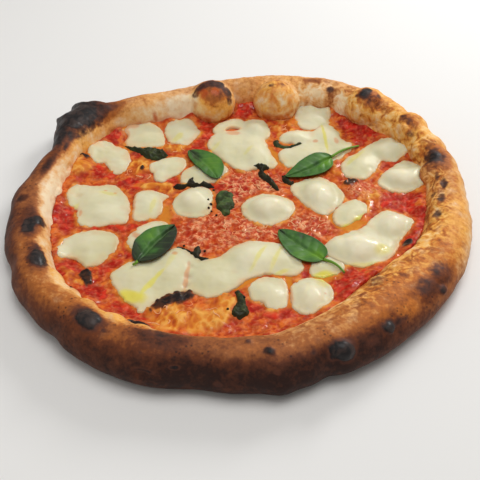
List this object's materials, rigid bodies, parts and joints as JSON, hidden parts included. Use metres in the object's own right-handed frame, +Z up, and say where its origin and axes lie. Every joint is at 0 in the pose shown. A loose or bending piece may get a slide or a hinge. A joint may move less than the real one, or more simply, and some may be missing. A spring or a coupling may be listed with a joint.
{
  "type": "margherita pizza",
  "caption": "Whole round pizza with a puffed, charred rim, tomato sauce, melted mozzarella pieces and fresh basil leaves.",
  "frame": {"origin": "on the surface that the pizza lies on, under the middle of its outline", "axes": "+Z up out of the toppings; -Y towards the side that the picture is taken from; +X to the right of that view"},
  "size_m": [0.3192, 0.3212, 0.0316],
  "materials": {
    "baked_dough": "dry baked crust, browned and charred in spots",
    "tomato_sauce": "wet, oily and pulpy",
    "mozzarella": "smooth, moist and oily",
    "wilted_basil": "dark, dried and crumpled",
    "fresh_basil": "waxy fresh leaf"
  },
  "bodies": {
    "root": {"dough": "baked_dough", "tomato_sauce": "tomato_sauce", "mozzarella_01": "mozzarella", "mozzarella_02": "mozzarella", "mozzarella_03": "mozzarella", "mozzarella_04": "mozzarella", "mozzarella_05": "mozzarella", "mozzarella_06": "mozzarella", "mozzarella_07": "mozzarella", "mozzarella_08": "mozzarella", "mozzarella_09": "mozzarella", "mozzarella_10": "mozzarella", "mozzarella_11": "mozzarella", "mozzarella_12": "mozzarella", "mozzarella_13": "mozzarella", "mozzarella_14": "mozzarella", "mozzarella_15": "mozzarella", "mozzarella_16": "mozzarella", "mozzarella_17": "mozzarella", "mozzarella_18": "mozzarella", "mozzarella_19": "mozzarella", "mozzarella_20": "mozzarella", "mozzarella_21": "mozzarella", "mozzarella_22": "mozzarella", "mozzarella_23": "mozzarella", "mozzarella_24": "mozzarella", "mozzarella_25": "mozzarella", "mozzarella_26": "mozzarella", "mozzarella_27": "mozzarella", "mozzarella_28": "mozzarella", "mozzarella_29": "mozzarella", "mozzarella_30": "mozzarella", "mozzarella_31": "mozzarella", "mozzarella_32": "mozzarella", "mozzarella_33": "mozzarella", "wilted_basil_1": "wilted_basil", "wilted_basil_2": "wilted_basil", "wilted_basil_3": "wilted_basil", "wilted_basil_4": "wilted_basil", "wilted_basil_5": "wilted_basil", "wilted_basil_6": "wilted_basil", "wilted_basil_7": "wilted_basil", "wilted_basil_8": "wilted_basil", "basil_leaf_1": "fresh_basil", "basil_leaf_2": "fresh_basil", "basil_leaf_3": "fresh_basil", "basil_leaf_4": "fresh_basil"}
  },
  "joints": []
}
